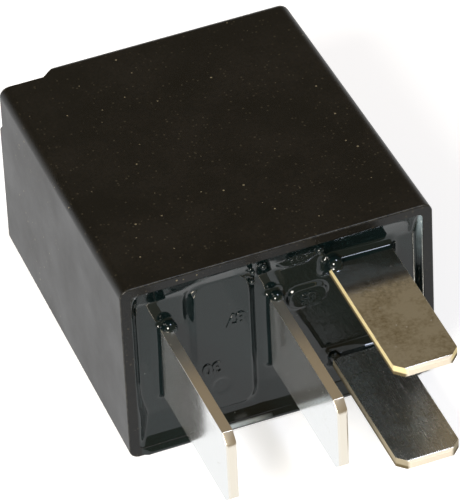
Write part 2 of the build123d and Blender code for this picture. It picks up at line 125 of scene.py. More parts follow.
class RelayResinSettings(bpy.types.PropertyGroup):
    """Shape and finish of the sealing resin."""

    resin: tint("Resin", "Black epoxy", "#0d191a")
    dust: tint("Dust", "Fine dust on the resin", "#8c938f")
    roughness: share_property("Roughness", "Of the cured surface", 0.06)
    # Painted highlight: a pale bluish strip along the right wall stands in for the lamp's streak
    # of light on the resin's bank
    painted_wall_highlight: tint("Blush", "Milky skin on the epoxy along the right wall", "#80929a")
    painted_wall_highlight_width: length("Blush width", "Width of the milky skin", 0.36)
    # Painted highlight: a pale streak on the lip over the lower wall, standing in for light that
    # the lip's curve catches
    painted_lip_highlight: tint("Smear", "Pale smear on the lip over the lower wall", "#d8e6ee")
    haze: length("Haze", "Size of the patches of duller skin", 2.2)
    dust_spacing: length("Dust spacing", "Between places that may have a grain", 0.4)
    swell: length("Swell", "Size of the faint waves in the skin", 1.1)
    swell_height: length("Swell height", "Height of the faint waves", 0.01)
    cell: length("Cell", "Size of the mesh cells of the face", 0.12)
    fine_reach: length("Fine reach", "Distance from an edge that gets finer cells", 0.22)
    lowest: length("Lowest", "Depth of the lowest resin behind the rim", 1.4)
    upright_creep: length("Upright creep", "Climb of resin at the upright blades", 0.62)
    flat_creep: length("Flat creep", "Climb of resin at the flat blades", 0.85)
    pad_film: length("Pad film", "Thickness of the resin over the raised pads", 0.05)
    pad_foot: length("Pad foot", "Width of the curve below the raised pads", 0.22)
    pad_left: length("Pad left", "Width of the pad's bank at the side of blade 30", 0.55)
    pad_right: length("Pad right", "Width of the pad's bank at the side of blade 87", 0.75)
    boss_foot: length("Boss foot", "Width of the curve round the small bosses", 0.36)
    right_valley: length("Right valley", "Depth of the valley beside blade 87", 0.22)
    left_valley: length("Left valley", "Depth of the hollow at the pad's corner", 0.32)
    sag: length("Sag", "Depth of the broad hollows in the face", 0.03)
    left_bank: length("Left bank", "Width of the bank at the left wall", 0.66)
    right_bank: length("Right bank", "Width of the bank at the right wall", 0.5)
    upper_bank: length("Upper bank", "Width of the bank at the upper wall", 1.9)
    slope_reach: length("Slope reach", "Length of the gentle lower slope", 2.7)
    slope_rise: length("Slope rise", "Climb of the gentle lower slope", 0.73)
    ramp_reach: length("Ramp reach", "Length of the steeper foot of the slope", 1.05)
    ramp_rise: length("Ramp rise", "Further climb along the steeper foot", 0.33)
    lip: length("Lip", "Reach of the resin over the lower wall's end", 0.64)
    crest: length("Crest", "Part of the lip that curves over at its end", 0.19)


class RelayMarkSettings(bpy.types.PropertyGroup):
    """Numbers and marks on the pads of the base plate."""

    large_number: length("Large number", "Size of the numbers on the pad", 1.42)
    small_number: length("Small number", "Size of the numbers on the bosses", 1.15)
    relief: length("Relief", "How far the numbers stand out", 0.1)
    number_edge: length("Number edge", "Bevel along the numbers", 0.045)
    boldness: length("Boldness", "How much thicker the strokes of the numbers are", 0.02)
    mark_radius: length("Mark radius", "Radius of the round ejector mark", 0.85)
    mark_depth: length("Mark depth", "Depth of the round ejector mark", 0.07)


class RelayBladeSettings(bpy.types.PropertyGroup):
    """Shape and finish of the four blades."""

    tin: tint("Tin", "Bright tin plating", "#f1f4f5")
    # Also used as painted shade: the colour of blade 85's sheared sides
    tarnish: tint("Tarnish", "Dull film on the tin", "#b0a78f")
    brass: tint("Cut ends", "Sheared ends, washed with tin", "#f8f1e2")
    golden: tint("Brass", "Bare sheared sides of the upper flat blade", "#fff1bd")
    fracture: tint("Fracture", "Dull lower part of a sheared side", "#6b5f42")
    arris: length("Arris", "Rounding of the sheared edges", 0.07)
    blotch: length("Blotch", "Size of the tarnish blotches", 0.28)
    scratch: length("Scratch", "Spacing of the scratches along a blade", 0.07)
    scratch_length: length("Scratch length", "Of the scratches", 2.5)
    scratch_depth: length("Scratch depth", "Of the scratches", 0.0003)
    patch: length("Patch", "Size of the broader patches of tarnish", 1.96)
    speck_spacing: length("Speck spacing", "Between places that may have a speck", 0.3)


class RelayInnerSettings(bpy.types.PropertyGroup):
    """Finish of the works inside the cover."""

    zinc: tint("Zinc", "Zinc plated iron", "#a9abab")
    nylon: tint("Nylon", "Unpigmented glass-filled nylon", "#c9bea2")
    copper: tint("Copper", "Enamelled copper wire", "#b05a2c")
    bronze: tint("Bronze", "Rolled phosphor bronze", "#c08a5c")
    silver: tint("Silver", "Silver alloy of the contacts", "#d9d7d2")
    lacquer: tint("Lacquer", "Lacquered resistor body", "#6f9aa6")
    wire: length("Wire", "Thickness of the wire of the coil", 0.12)
    patch: length("Patch", "Size of the duller patches on the coil", 1)
    spring_arris: length("Spring arris", "Rounding of the edges of the spring", 0.03)


class RelayStageSettings(bpy.types.PropertyGroup):
    """Floor, light and camera."""

    floor: tint("Floor", "Matt paper", "#e6e6e6")
    surround: tint("Surround", "Dim room above the floor", "#7f7159")
    floor_size: length("Floor size", "Side of the square floor", 3000)
    board_height: length("Board height", "Of the pale board behind the floor", 320)
    distance: length("Camera distance", "From the aim to the camera", 400.4)
    azimuth: angle_property("Azimuth", -19.81)
    elevation: angle_property("Elevation", 40.35)
    roll: angle_property("Roll", 2.91)
    lens: FloatProperty(name="Lens", description="Focal length", unit="CAMERA", default=406.7)


def per(size):
    """Scale of a pattern whose features repeat about every given length, in metres."""
    return 1 / size


def set_all(target, settings):
    """Gives an object, modifier or node each of its settings."""
    for name, value in settings.items():
        setattr(target, name, value)


def new_material(name):
    """A node material without any nodes."""
    material = bpy.data.materials.new(name)
    material.use_nodes = True
    material.node_tree.nodes.clear()
    return material


def node(material, kind, inputs=(), **settings):
    """Adds one shader node with its settings, and sets or links its inputs, by name or in order.

    A node that is given as a value is linked by its first output in use.
    """
    added = material.node_tree.nodes.new("ShaderNode" + kind)
    set_all(added, settings)
    if not isinstance(inputs, dict):
        in_use = [index for index, socket in enumerate(added.inputs) if socket.enabled]
        inputs = dict(zip(in_use, inputs))
    for name, value in inputs.items():
        if isinstance(value, bpy.types.Node):
            value = next(socket for socket in value.outputs if socket.enabled)
        if isinstance(value, bpy.types.NodeSocket):
            material.node_tree.links.new(value, added.inputs[name])
        else:
            added.inputs[name].default_value = value
    return added


def rgba(colour):
    """A colour with full opacity."""
    return (*colour, 1)


def patterned_material(name):
    """A new material, and the place on the piece for its patterns."""
    m = new_material(name)
    return m, node(m, "TexCoord").outputs["Object"]


def specks(material, place, spacing, share, size, strength):
    """Grains scattered in a share of the cells of a pattern, each with its own size."""
    cells = node(material, "TexVoronoi", (place, per(spacing)))
    chance = node(material, "SeparateColor", (cells.outputs["Color"],))
    grain = node(material, "MapRange", (chance, 1 - share, 1, 0, size))
    inside = node(material, "Math", (grain, cells.outputs["Distance"]), operation="SUBTRACT")
    return node(material, "MapRange", (inside, 0, size / 3, 0, strength))


def cover_nylon(settings):
    """Glass-filled nylon, injection moulded: near black and matt from above, greyer at a low
    angle, with fine grain, faint brown mottling, a dusty rim and scattered pale dust."""
    m, place = patterned_material("moulded_nylon")
    mottle = node(m, "TexNoise", (place, per(settings.mottle), 3, FINENESS))
    scuff = node(m, "TexNoise", (place, per(settings.scuff), 4, FINENESS))
    scuffed = node(m, "Math", (mottle, scuff), operation="MULTIPLY")
    tone = node(m, "MapRange", (scuffed, 0.2, 0.33))
    plastic = (tone, rgba(settings.plastic), rgba(settings.plastic_light))
    plastic = node(m, "Mix", plastic, data_type="RGBA")
    depth = node(m, "SeparateXYZ", (place,)).outputs["Y"]
    behind = node(m, "Math", (depth, rim_y), operation="SUBTRACT")
    # Wear lies just behind the rim's end, where hands and sockets rub it
    skin = settings.rim_skin
    edge = node(m, "MapRange", (behind, skin * 2 / 3, settings.worn_width, 0.75, 0))
    at_front = node(m, "MapRange", (behind, skin / 6, skin))
    ragged = node(m, "TexNoise", (place, per(settings.mottle), 4, FINENESS))
    ragged = node(m, "MapRange", (ragged, 0.35, 0.65))
    wear = node(m, "Math", (edge, at_front), operation="MULTIPLY")
    wear = node(m, "Math", (wear, ragged), operation="MULTIPLY")
    plastic = node(m, "Mix", (wear, plastic, rgba(settings.worn)), data_type="RGBA")
    spacing = settings.speck_spacing
    large = specks(m, place, spacing, share=0.13, size=0.2, strength=0.5)
    small = specks(m, place, spacing / 2, share=0.3, size=0.42, strength=0.07)
    dust = node(m, "Math", (large, small), operation="MAXIMUM")
    dusty = node(m, "Mix", (dust, plastic, rgba(settings.dust)), data_type="RGBA")
    grain = node(m, "TexNoise", (place, per(settings.grain), 2, FINENESS))
    bump = {"Height": grain, "Distance": settings.grain_depth, "Strength": 0.4}
    least, most = settings.roughness - 0.04, settings.roughness + 0.06
    matt = node(m, "MapRange", (scuff, 0.3, 0.7, least, most))
    glossy_rim = node(m, "MapRange", (behind, 0, skin, 0.1, 0))
    finish = {
        "Base Color": dusty,
        "Roughness": node(m, "Math", (matt, glossy_rim), operation="SUBTRACT"),
        "IOR": 1.43,
        "Normal": node(m, "Bump", bump),
    }
    node(m, "OutputMaterial", (node(m, "BsdfPrincipled", finish),))
    return m


def sealing_epoxy(settings):
    """Cast epoxy, cured in place: deep glossy black that mirrors the floor and the blades, with a
    little dust, a painted highlight along the right wall and a painted highlight on the lip."""
    m, place = patterned_material("cast_epoxy")
    haze = node(m, "TexNoise", (place, per(settings.haze), 4, FINENESS))
    grain = specks(m, place, settings.dust_spacing, share=0.14, size=0.14, strength=0.5)
    colour = (grain, rgba(settings.resin), rgba(settings.dust))
    colour = node(m, "Mix", colour, data_type="RGBA")
    axes = node(m, "SeparateXYZ", (place,)).outputs
    # Painted highlight: a pale bluish strip up the right wall, broken up by the haze patches,
    # stands in for the lamp's streak of light on the resin's bank
    wall_highlight_x = resin_high.x - settings.painted_wall_highlight_width
    soft_edge = 0.12 * MM
    wall_highlight_foot, wall_highlight_top = 10.5 * MM, 14.5 * MM
    across = node(m, "MapRange", (axes["X"], wall_highlight_x, wall_highlight_x + soft_edge))
    upwards = node(m, "MapRange", (axes["Z"], wall_highlight_foot, wall_highlight_top))
    skin = node(m, "Math", (across, upwards), operation="MULTIPLY")
    painted_wall_highlight = node(m, "MapRange", (haze, 0.3, 0.6))
    painted_wall_highlight = node(m, "Math", (skin, painted_wall_highlight), operation="MULTIPLY")
    colour = node(m, "Mix", (painted_wall_highlight, colour, rgba(settings.painted_wall_highlight)), data_type="RGBA")
    # Painted highlight: a short pale streak lies on the lip over the lower wall, between the
    # upright blades, where the lip's curve catches the lamp
    lip_highlight_x = resin_low.x + 7.9 * MM
    lip_highlight_core, lip_highlight_reach = 0.9 * MM, 2.2 * MM
    fades_in, full_from = resin_low.z - 0.12 * MM, resin_low.z - 0.24 * MM
    full_to, fades_out = resin_low.z - 0.42 * MM, resin_low.z - 0.5 * MM
    from_middle = node(m, "Math", (axes["X"], lip_highlight_x), operation="SUBTRACT")
    from_middle = node(m, "Math", (from_middle,), operation="ABSOLUTE")
    along = node(m, "MapRange", (from_middle, lip_highlight_reach, lip_highlight_core))
    below_wall = node(m, "MapRange", (axes["Z"], fades_in, full_from))
    above_crest = node(m, "MapRange", (axes["Z"], fades_out, full_to))
    painted_lip_highlight = node(m, "Math", (below_wall, above_crest), operation="MULTIPLY")
    painted_lip_highlight = node(m, "Math", (painted_lip_highlight, along), operation="MULTIPLY")
    colour = node(m, "Mix", (painted_lip_highlight, colour, rgba(settings.painted_lip_highlight)), data_type="RGBA")
    swell = node(m, "TexNoise", (place, per(settings.swell), 1, FINENESS))
    bump = {"Height": swell, "Distance": settings.swell_height, "Strength": 0.6}
    rough = (haze, 0.35, 0.7, settings.roughness / 2, settings.roughness * 2)
    finish = {
        "Base Color": colour,
        "Roughness": node(m, "MapRange", rough),
        "IOR": 1.52,
        "Normal": node(m, "Bump", bump),
    }
    node(m, "OutputMaterial", (node(m, "BsdfPrincipled", finish),))
    return m


def tinned_brass(settings, name, look):
    """Rolled brass sheet, tin plated and then sheared: greyish mirror with olive tarnish, fine
    scratches along the blade and pale golden sheared edges."""
    m, place = patterned_material(name)
    blotch = node(m, "TexNoise", (place, per(settings.blotch), 5, FINENESS))
    patch = node(m, "TexNoise", (place, per(settings.patch), 3, FINENESS))
    film = node(m, "Math", (blotch, patch), operation="MULTIPLY")
    film = node(m, "MapRange", (film, 0.42 - look["tarnish"] * 0.3, 0.5))
    tin = (film, rgba(settings.tin), rgba(settings.tarnish))
    tin = node(m, "Mix", tin, data_type="RGBA")
    along = settings.scratch / settings.scratch_length
    stretched = node(m, "Mapping", {"Vector": place, "Scale": (1, along, 1)})
    scratch = node(m, "TexNoise", (stretched, per(settings.scratch), 2, FINENESS))
    bright = specks(m, place, settings.speck_spacing, *look["specks"])
    bare_metal = (1, 1, 0.97, 1)
    tin = node(m, "Mix", (bright, tin, bare_metal), data_type="RGBA")
    facing = node(m, "NewGeometry").outputs["Normal"]
    facing = node(m, "SeparateXYZ", (facing,)).outputs
    broad_axis, side_axis = look["axes"]
    flatness = node(m, "Math", (facing[broad_axis],), operation="ABSOLUTE")
    sheared = node(m, "MapRange", (flatness, 0.97, 0.6))
    sideways = node(m, "Math", (facing[side_axis],), operation="ABSOLUTE")
    sideways = node(m, "MapRange", (sideways, 0.3, 0.6))
    side = rgba(look["side"])
    if "middle" in look:
        # The shears leave a burnished band and, from just below the middle, a dull fracture
        fracture_top, band_foot = -0.16 * MM, -0.04 * MM
        up = node(m, "SeparateXYZ", (place,)).outputs["Z"]
        up = node(m, "Math", (up, look["middle"]), operation="SUBTRACT")
        band = node(m, "MapRange", (up, fracture_top, band_foot))
        side = node(m, "Mix", (band, rgba(settings.fracture), side), data_type="RGBA")
    edge = node(m, "Mix", (sideways, rgba(settings.brass), side), data_type="RGBA")
    colour = node(m, "Mix", (sheared, tin, edge), data_type="RGBA")
    rubbed = node(m, "Math", (blotch, scratch), operation="ADD")
    rubbed = node(m, "MapRange", (rubbed, 0.75, 1.2, *look["roughness"]))
    dull_edge = node(m, "MapRange", (sheared, 0, 1, 0, look["edge_roughness"]))
    dull_speck = node(m, "MapRange", (bright, 0, 1, 0, 0.6))
    rough = node(m, "Math", (rubbed, dull_edge), operation="MAXIMUM")
    rough = node(m, "Math", (rough, dull_speck), operation="MAXIMUM")
    metallic = node(m, "MapRange", (sheared, 0, 1, look["metallic"], look["edge_metallic"]))
    bump = {"Height": scratch, "Distance": settings.scratch_depth, "Strength": 0.25}
    finish = {
        "Base Color": colour,
        "Metallic": node(m, "Math", (metallic, bright), operation="SUBTRACT", use_clamp=True),
        "Roughness": rough,
        "Normal": node(m, "Bump", bump),
    }
    node(m, "OutputMaterial", (node(m, "BsdfPrincipled", finish),))
    return m


# Plain materials of the works: the setting of the colour, the size of the mottling in
# millimetres, the roughness and how metallic it is
PLAIN = {
    # Zinc plated iron: bluish grey, softly shining, with crystal-like mottling
    "zinc_plated_iron": ("zinc", 0.8, 0.34, 1),
    # Upset steel rivets: a little duller than the sheet
    "upset_steel": ("zinc", 0.3, 0.42, 1),
    # Unpigmented glass-filled nylon: ivory, waxy and slightly streaked
    "ivory_nylon": ("nylon", 1.5, 0.48, 0),
    # Lacquered ceramic: smooth dull blue with a soft shine
    "lacquered_ceramic": ("lacquer", 0.6, 0.3, 0),
    # Tinned copper wire: bright, with small soft spots
    "tinned_wire": ("silver", 0.2, 0.28, 1),
    # Silver alloy: pale and satin, with faint dark spots where it has switched
    "silver_alloy": ("silver", 0.25, 0.25, 1),
    # Rolled phosphor bronze: reddish gold with a fine grain
    "phosphor_bronze": ("bronze", 0.4, 0.27, 1),
}


def mottled(settings, name):
    """A plain material with slight mottling of its colour, its shine and its surface."""
    colour, size, roughness, metallic = PLAIN[name]
    colour = getattr(settings, colour)
    size *= MM
    m, place = patterned_material(name)
    lumps = node(m, "TexNoise", (place, per(size), 4, FINENESS))
    grain = node(m, "TexNoise", (place, per(size / 3), 3, FINENESS))
    grain_height = 0.004 * MM
    darker = tuple(channel * 0.72 for channel in colour)
    tone = (node(m, "MapRange", (lumps, 0.35, 0.65)), rgba(darker), rgba(colour))
    finish = {
        "Base Color": node(m, "Mix", tone, data_type="RGBA"),
        "Metallic": metallic,
        "Roughness": node(m, "MapRange", (lumps, 0.3, 0.7, roughness * 0.85, roughness * 1.2)),
        "Normal": node(m, "Bump", {"Height": grain, "Distance": grain_height}),
    }
    node(m, "OutputMaterial", (node(m, "BsdfPrincipled", finish),))
    return m


def wound_copper(settings):
    """Enamelled copper wire, wound closely: reddish brown, each turn with its own small shine.

    The wave pattern repeats every pi / 10 units, and each wave stands for two turns.
    """
    m, place = patterned_material("wound_copper")
    scale = per(2 * settings.wire) * math.pi / 10
    wave = {"Vector": place, "Scale": scale, "Distortion": 0.4}
    turns = node(m, "TexWave", wave, bands_direction="Y").outputs["Fac"]
    darker = tuple(channel * 0.4 for channel in settings.copper)
    tone = (turns, rgba(darker), rgba(settings.copper))
    patch = node(m, "TexNoise", (place, per(settings.patch), 3, FINENESS))
    finish = {
        "Base Color": node(m, "Mix", tone, data_type="RGBA"),
        "Metallic": 0.8,
        "Roughness": node(m, "MapRange", (patch, 0.3, 0.7, 0.25, 0.4)),
        "Normal": node(m, "Bump", {"Height": turns, "Distance": settings.wire / 2}),
    }
    node(m, "OutputMaterial", (node(m, "BsdfPrincipled", finish),))
    return m


def give_material(piece, material):
    """Puts one material on a whole piece."""
    piece.data.materials.clear()
    piece.data.materials.append(material)


def dress(node_name, material):
    """Puts a better material in the slots of a CAD piece."""
    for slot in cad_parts[node_name].material_slots:
        slot.material = material


def deselect():
    """Leaves nothing selected."""
    bpy.ops.object.select_all(action="DESELECT")


def make_active(piece):
    """Selects one piece alone and makes it active."""
    deselect()
    piece.select_set(True)
    bpy.context.view_layer.objects.active = piece


def switch_to(mode):
    """Enters edit mode or object mode."""
    bpy.ops.object.mode_set(mode=mode)


def pick(piece, element, test):
    """In edit mode, selects the vertices or faces of a piece that pass a test."""
    switch_to("EDIT")
    bpy.ops.mesh.select_mode(type=element)
    bpy.ops.mesh.select_all(action="DESELECT")
    switch_to("OBJECT")
    parts = {"VERT": piece.data.vertices, "FACE": piece.data.polygons}
    for part in parts[element]:
        part.select = test(part)
    switch_to("EDIT")


def apply_modifier(piece, kind, **settings):
    """Adds a modifier to a piece and applies it."""
    make_active(piece)
    modifier = piece.modifiers.new(kind.lower(), kind)
    set_all(modifier, settings)
    bpy.ops.object.modifier_apply(modifier=modifier.name)


def round_edges(piece, width, segments, degrees):
    """Rounds the edges of a piece that are sharper than an angle."""
    limit = {"limit_method": "ANGLE", "angle_limit": math.radians(degrees)}
    apply_modifier(piece, "BEVEL", width=width, segments=segments, **limit)


def smooth(piece, degrees):
    """Shades a piece smoothly across the edges that are less sharp than an angle."""
    make_active(piece)
    bpy.ops.object.shade_smooth_by_angle(angle=math.radians(degrees))


def apply_place(piece):
    """Moves a piece's place, turn and scale into its mesh."""
    make_active(piece)
    bpy.ops.object.transform_apply(location=True, rotation=True, scale=True)


def remove(piece):
    """Deletes a piece that only helped to shape another."""
    make_active(piece)
    bpy.ops.object.delete()


def block(low, high):
    """A block between two corners, its place in its mesh."""
    deselect()
    bpy.ops.mesh.primitive_cube_add(size=1, location=(low + high) / 2)
    piece = bpy.context.object
    bpy.ops.transform.resize(value=high - low)
    apply_place(piece)
    return piece


def join_pieces(pieces, name):
    """Joins pieces into one, its place in its mesh."""
    deselect()
    for piece in pieces:
        piece.select_set(True)
    bpy.context.view_layer.objects.active = pieces[0]
    bpy.ops.object.join()
    joined = bpy.context.object
    joined.name = name
    apply_place(joined)
    return joined


def copy_of(node_name, flatten):
    """A free copy of a CAD piece, its triangles merged and, if asked, each flat side one face."""
    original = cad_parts[node_name]
    piece = original.copy()
    piece.data = original.data.copy()
    piece.parent = None
    piece.name = node_name + "_detailed"
    bpy.context.scene.collection.objects.link(piece)
    piece.matrix_world = Matrix.Identity(4)
    make_active(piece)
    switch_to("EDIT")
    bpy.ops.mesh.select_all(action="SELECT")
    bpy.ops.mesh.remove_doubles(threshold=0.001 * MM)
    if flatten:
        bpy.ops.mesh.dissolve_limited(angle_limit=math.radians(1))
    switch_to("OBJECT")
    return piece


def corners(points):
    """Lowest and highest corner of the box round some points."""
    low = Vector([min(p[i] for p in points) for i in range(3)])
    high = Vector([max(p[i] for p in points) for i in range(3)])
    return low, high


def front_section(node_name, front, back):
    """Lowest and highest corner of the part of a CAD piece between two places along Y."""
    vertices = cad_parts[node_name].data.vertices
    return corners([v.co for v in vertices if front <= v.co.y <= back])


def outside(x, z, low, high, rounding):
    """Distance of places from a rounded rectangle in the face, negative inside it."""
    half_x = (high.x - low.x) / 2 - rounding
    half_z = (high.z - low.z) / 2 - rounding
    beyond_x = np.abs(x - (low.x + high.x) / 2) - half_x
    beyond_z = np.abs(z - (low.z + high.z) / 2) - half_z
    corner = np.hypot(np.maximum(beyond_x, 0), np.maximum(beyond_z, 0))
    return corner + np.minimum(np.maximum(beyond_x, beyond_z), 0) - rounding


def within(low, high, share_x, share_z):
    """Place across and up between two corners, given as shares of the way."""
    return low.x + (high.x - low.x) * share_x, low.z + (high.z - low.z) * share_z


def eased(share):
    """A share that is held between 0 and 1 and leaves both ends softly."""
    share = np.clip(share, 0, 1)
    return share * share * (3 - 2 * share)


def meniscus(distance, reach):
    """Share of a meniscus's climb that is left at a distance, as a quarter circle has it."""
    share = np.clip(1 - distance / reach, 0, 1)
    return 1 - np.sqrt(1 - share**2)


def raised(height, target, share):
    """Raises heights towards a target by a share of what is missing."""
    return height + share * np.maximum(target - height, 0)


def blade_sections():
    """Lowest and highest corner of each blade where it leaves the relay."""
    return {name: front_section(name, -FAR, rim_y) for name in upright_blades + flat_blades}


# Beads of resin: the blade that each one is near, its place across and up as shares of the
# blade's section, its radius and the depth of its middle behind the rim, in millimetres
BEADS = (
    ("terminal_30", 0.86, 0.985, 0.6, 0.3),
    ("terminal_87", 0.68, 0.97, 0.58, 0.3),
    ("terminal_86", 0.1, 1.0, 0.62, 0.12),
    ("terminal_86", -0.13, 3.0, 0.32, 0.16),
    ("terminal_85", 0.05, 0.85, 0.45, 0.3),
    ("terminal_87", -1.5, 1.46, 0.2, 0.16),
    ("terminal_87", -0.5, 1.5, 0.22, 0.12),
    ("terminal_87", -1.48, 1.29, 0.2, 0.4),
)


def bead_places():
    """Middle and radius of each bead."""
    sections = blade_sections()
    for name, share_x, share_z, radius, depth in BEADS:
        x, z = within(*sections[name], share_x, share_z)
        yield Vector((x, rim_y + depth * MM, z)), radius * MM


def pad_outlines():
    """Lowest corner, highest corner and corner radius of the large pad and of the two bosses."""
    sliver = 0.02 * MM
    pad_corner = 0.95 * MM
    boss_y = pad_y + 0.1 * MM
    pad_low, pad_high = front_section("base", pad_y - sliver, pad_y + sliver)
    outlines = [(pad_low, pad_high, pad_corner)]
    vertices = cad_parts["base"].data.vertices
    points = [v.co for v in vertices if abs(v.co.y - boss_y) < sliver]
    split = (min(p.z for p in points) + max(p.z for p in points)) / 2
    for group in ([p for p in points if p.z > split], [p for p in points if p.z <= split]):
        low, high = corners(group)
        outlines.append((low, high, (high.z - low.z) / 2))
    return outlines


def ejector_mark():
    """Middle of the round mark that the mould's ejector leaves on the pad."""
    low, high, _ = pad_outlines()[0]
    return within(low, high, share_x=0.42, share_z=0.175)


def valleys(settings):
    """Middle across and up, half width, half length and depth of the valleys beside the pad."""
    low, high, _ = pad_outlines()[0]
    beyond, above, half_x, half_z = 0.7 * MM, 5.0 * MM, 0.5 * MM, 4.5 * MM
    yield high.x + beyond, low.z + above, half_x, half_z, settings.right_valley
    beyond, below, half_x, half_z = 0.42 * MM, 1.9 * MM, 0.33 * MM, 1.2 * MM
    yield low.x - beyond, high.z - below, half_x, half_z, settings.left_valley


def lower_slope(settings, z):
    """Climb of the resin towards the lower wall, over its end and down its crest."""
    crest_z = resin_low.z - settings.lip + settings.crest
    above = np.maximum(z - crest_z, 0)
    gentle = settings.slope_rise * np.clip(1 - above / settings.slope_reach, 0, 1) ** 1.1
    steep = settings.ramp_rise * np.clip(1 - above / settings.ramp_reach, 0, 1) ** 1.1
    over = np.clip((crest_z - z) / settings.crest, 0, 1)
    return gentle + steep - settings.crest * 0.4 * over**2


def open_face(settings, x, z):
    """Height of the resin without banks, pads and blades: hollows, valleys and lower slope."""
    wave_x, wave_z = 3.1 * MM, 2.7 * MM
    ripple_x, ripple_z, ripple_share = 1.7 * MM, 2.2 * MM, 0.6
    broad = np.sin(x / wave_x + 0.6) * np.cos(z / wave_z - 0.4)
    broad += ripple_share * np.sin(x / ripple_x - z / ripple_z)
    height = settings.lowest - (resin_low.y - rim_y) + settings.sag * broad
    for middle_x, middle_z, half_x, half_z, depth in valleys(settings):
        away = ((x - middle_x) / half_x) ** 2 + ((z - middle_z) / half_z) ** 4
        height = height - depth * np.exp(-away)
    return height + lower_slope(settings, z)


def unevenness(x, z):
    """Factor of the reach of a bank or a creep, which varies from place to place."""
    length_x, length_z, variation = 1.9 * MM, 1.3 * MM, 0.12
    return 1 + variation * np.sin(x / length_x) * np.sin(z / length_z + 1)


def banked(settings, height, x, z):
    """Raises the resin along the left, right and upper wall, and limits its height.

    It stays behind the rim at the left and right wall and may bulge a little past it between.
    """
    at_rim = settings.lowest - 0.06 * MM
    highest = settings.lowest - 0.02 * MM
    bulge_height = 0.3 * MM
    to_left = x - resin_low.x
    to_right = resin_high.x - x
    # The left bank widens near the bottom, where more resin has run
    run_z, run_length, widening = 3.2 * MM, 1.3 * MM, 0.8
    swelling = 1 + widening * np.exp(-(((z - run_z) / run_length) ** 2))
    height = raised(height, at_rim, eased(1 - to_left / (settings.left_bank * swelling)))
    height = raised(height, at_rim, eased(1 - to_right / settings.right_bank))
    upper_reach = settings.upper_bank * unevenness(x, z)
    upper = np.clip(1 - (resin_high.z - z) / upper_reach, 0, 1) ** 1.15
    height = raised(height, at_rim, upper)
    bulge = eased(np.minimum(to_left, to_right) / (2 * settings.right_bank))
    return np.minimum(height, highest + bulge_height * bulge)


def over_pads(settings, height, x, z):
    """Raises the resin over the pads of the base plate, with a bank round each."""
    for low, high, rounding in pad_outlines():
        distance = np.maximum(outside(x, z, low, high, rounding), 0)
        is_pad = low.y < pad_y + 0.01 * MM
        foot = settings.pad_foot if is_pad else settings.boss_foot
        beside_left = np.clip((low.x + rounding - x) / rounding, 0, 1) * is_pad
        beside_right = np.clip((x - high.x + rounding) / rounding, 0, 1) * is_pad
        width = foot + (settings.pad_left - foot) * beside_left
        width = width + (settings.pad_right - foot) * beside_right
        top = settings.lowest - (low.y - rim_y) + settings.pad_film
        height = raised(height, top, eased(1 - distance / width))
    return height


def resin_heights(settings, marks, x, z):
    """Height of the resin over its lowest level, at places in the face."""
    height = open_face(settings, x, z)
    height = banked(settings, height, x, z)
    height = over_pads(settings, height, x, z)
    mark_x, mark_z = ejector_mark()
    reach = np.hypot(x - mark_x, z - mark_z) / marks.mark_radius
    height = height - marks.mark_depth * eased(2 * (1 - reach))
    level = settings.lowest - (resin_low.y - rim_y)
    blade_corner = 0.05 * MM
    for name, (low, high) in blade_sections().items():
        distance = np.maximum(outside(x, z, low, high, blade_corner), 0)
        creep = settings.upright_creep if name in upright_blades else settings.flat_creep
        climb = meniscus(distance, creep * unevenness(x, z))
        height = raised(height, level + creep, climb)
    # Under each bead the resin rises half of the way to the bead's middle
    for middle, radius in bead_places():
        reach = np.hypot(x - middle.x, z - middle.z) / radius
        middle_height = rim_y + settings.lowest - middle.y
        height = raised(height, middle_height, 0.5 * eased((1 - reach) / 0.4))
    return height


def resin_face(settings):
    """The resin's front: a flat grid, with finer cells near the edges of the blades, pads, beads
    and walls.
    """
    low = Vector((resin_low.x, 0, resin_low.z - settings.lip))
    high = Vector((resin_high.x, 0, resin_high.z))
    size = high - low
    middle = (low + high) / 2
    deselect()
    bpy.ops.mesh.primitive_grid_add(
        x_subdivisions=round(size.x / settings.cell),
        y_subdivisions=round(size.z / settings.cell),
        size=1,
        location=(middle.x, rim_y + settings.lowest, middle.z),
        rotation=(math.pi / 2, 0, 0),
    )
    piece = bpy.context.object
    piece.name = "sealing_resin"
    piece.scale = (size.x, size.z, 1)
    apply_place(piece)
    outlines = [(*section, 0) for section in blade_sections().values()]
    outlines += pad_outlines() + [(resin_low, resin_high, 0)]
    centres = np.array([face.center for face in piece.data.polygons])
    gaps = [np.abs(outside(centres[:, 0], centres[:, 2], *outline)) for outline in outlines]
    for middle, radius in bead_places():
        away = np.hypot(centres[:, 0] - middle.x, centres[:, 2] - middle.z)
        gaps.append(np.maximum(away - radius * 1.5, 0))
    close = np.min(gaps, axis=0) < settings.fine_reach
    pick(piece, "FACE", lambda face: close[face.index])
    bpy.ops.mesh.subdivide(number_cuts=2)
    switch_to("OBJECT")
    return piece


def raise_face(settings, marks, piece):
    """Raises the grid by a vertex group of heights."""
    places = np.empty(len(piece.data.vertices) * 3)
    piece.data.vertices.foreach_get("co", places)
    x, _, z = places.reshape(-1, 3).T
    heights = resin_heights(settings, marks, x, z)
    tallest = float(heights.max())
    group = piece.vertex_groups.new(name="height")
    for index, height in enumerate(heights):
        group.add([index], float(height) / tallest, "REPLACE")
    apply_modifier(
        piece, "DISPLACE", direction="Y", mid_level=0, strength=-tallest, vertex_group="height"
    )
    piece.vertex_groups.clear()


def add_beads():
    """The round beads that the resin leaves at the blades."""
    pieces = []
    for middle, radius in bead_places():
        deselect()
        bpy.ops.mesh.primitive_uv_sphere_add(
            segments=40, ring_count=20, radius=radius, location=middle
        )
        pieces.append(bpy.context.object)
    return join_pieces(pieces, "resin_beads")


